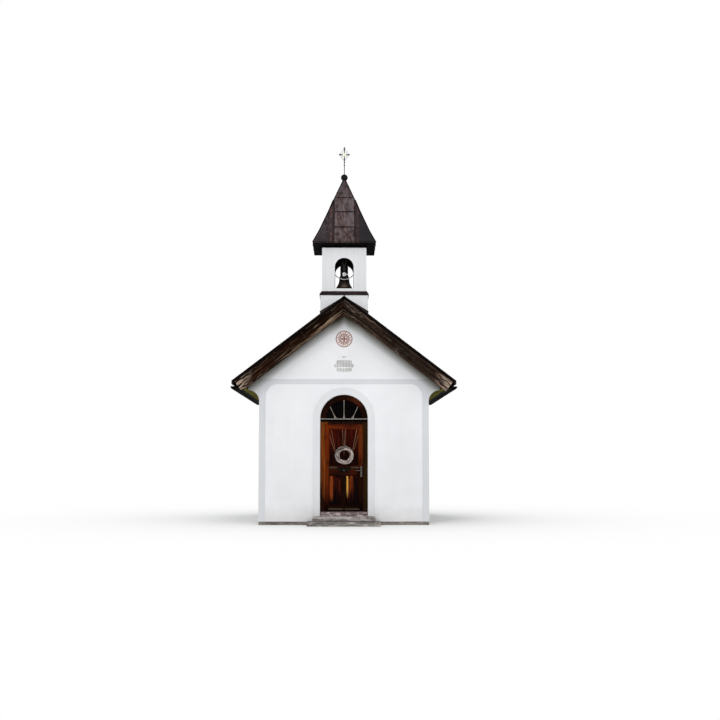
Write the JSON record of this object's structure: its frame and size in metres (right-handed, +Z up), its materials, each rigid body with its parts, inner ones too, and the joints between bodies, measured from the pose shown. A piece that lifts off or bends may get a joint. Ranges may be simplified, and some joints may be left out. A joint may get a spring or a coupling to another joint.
{
  "type": "small chapel",
  "caption": "Small rendered chapel with a saddle roof, an arched doorway with a hinged panelled door, and a ridge belfry with a swinging bell.",
  "frame": {"origin": "on the ground under the middle of the whole outline", "axes": "+Z up, the door looks towards -Y, +X is to the right of someone who faces the door"},
  "size_m": [4.96, 6.77, 8.7504],
  "materials": {
    "plinth": null,
    "floor_slab": null,
    "front_wall_left": null,
    "front_wall_right": null,
    "front_gable": null,
    "left_wall": null,
    "right_wall": null,
    "rear_wall": null,
    "facade_frame": null,
    "door_surround": null,
    "lower_step": null,
    "upper_step": null,
    "door_sill": null,
    "door_frame": "dark stained timber",
    "fanlight_sash": "dark stained timber",
    "fanlight_glass": "clear glass over a dark room",
    "hinge_pins": "worn steel",
    "window_frames": "dark stained timber",
    "window_glass": "clear glass over a dark room",
    "window_sills": "dark oxidised sheet on boards",
    "ridge_purlin": "sawn timber",
    "wall_plates": "sawn timber",
    "rafters_left": "sawn timber",
    "rafters_right": "sawn timber",
    "roof_left": "dark oxidised sheet on boards",
    "roof_right": "dark oxidised sheet on boards",
    "ridge_cap": "dark oxidised sheet on boards",
    "eave_boards": "weathered brown boards",
    "front_verge_left": "weathered brown boards",
    "front_verge_right": "weathered brown boards",
    "rear_verge_left": "weathered brown boards",
    "rear_verge_right": "weathered brown boards",
    "gutters": "dark oxidised sheet",
    "eave_cornices": null,
    "belfry_base": null,
    "belfry_flashing": "dark oxidised sheet on boards",
    "belfry_ledge": "dark oxidised sheet on boards",
    "belfry_front_wall": null,
    "belfry_rear_wall": null,
    "belfry_left_wall": null,
    "belfry_right_wall": null,
    "spire_soffit": "dark oxidised sheet on boards",
    "spire_roof": "dark oxidised sheet on boards",
    "finial_ball": "old gilding",
    "finial_cross": "old gilding",
    "bell_hangers": "dark painted steel",
    "door_leaf": "old varnished timber",
    "door_upper_panel": "old varnished timber",
    "door_lower_panels": "old varnished timber",
    "door_ledges": "old varnished timber",
    "door_handle": "worn steel",
    "door_hinges": "worn steel",
    "door_wreath": "woven pale wreath",
    "bell": "dark bell bronze",
    "bell_headstock": "dark painted steel",
    "bell_wheel": "dark painted steel",
    "bell_clapper": "dark bell bronze"
  },
  "bodies": {
    "building": {"plinth": "plinth", "floor_slab": "floor_slab", "front_wall_left": "front_wall_left", "front_wall_right": "front_wall_right", "front_gable": "front_gable", "left_wall": "left_wall", "right_wall": "right_wall", "rear_wall": "rear_wall", "facade_frame": "facade_frame", "door_surround": "door_surround", "lower_step": "lower_step", "upper_step": "upper_step", "door_sill": "door_sill", "door_frame": "door_frame", "fanlight_sash": "fanlight_sash", "fanlight_glass": "fanlight_glass", "hinge_pins": "hinge_pins", "window_frames": "window_frames", "window_glass": "window_glass", "window_sills": "window_sills", "ridge_purlin": "ridge_purlin", "wall_plates": "wall_plates", "rafters_left": "rafters_left", "rafters_right": "rafters_right", "roof_left": "roof_left", "roof_right": "roof_right", "ridge_cap": "ridge_cap", "eave_boards": "eave_boards", "front_verge_left": "front_verge_left", "front_verge_right": "front_verge_right", "rear_verge_left": "rear_verge_left", "rear_verge_right": "rear_verge_right", "gutters": "gutters", "eave_cornices": "eave_cornices", "belfry_base": "belfry_base", "belfry_flashing": "belfry_flashing", "belfry_ledge": "belfry_ledge", "belfry_front_wall": "belfry_front_wall", "belfry_rear_wall": "belfry_rear_wall", "belfry_left_wall": "belfry_left_wall", "belfry_right_wall": "belfry_right_wall", "spire_soffit": "spire_soffit", "spire_roof": "spire_roof", "finial_ball": "finial_ball", "finial_cross": "finial_cross", "bell_hangers": "bell_hangers"},
    "door": {"door_leaf": "door_leaf", "door_upper_panel": "door_upper_panel", "door_lower_panels": "door_lower_panels", "door_ledges": "door_ledges", "door_handle": "door_handle", "door_hinges": "door_hinges", "door_wreath": "door_wreath"},
    "bell": {"bell": "bell", "bell_headstock": "bell_headstock", "bell_wheel": "bell_wheel", "bell_clapper": "bell_clapper"}
  },
  "joints": [
    {"name": "door_swing", "type": "hinge", "parent": "building", "child": "door", "pos_m": [-0.435, -2.544, 1.25], "axis": [0, 0, 1], "range_deg": [0, 100]},
    {"name": "bell_swing", "type": "hinge", "parent": "building", "child": "bell", "pos_m": [0, -1.95, 5.82], "axis": [0, 1, 0], "range_deg": [-55, 55]}
  ]
}
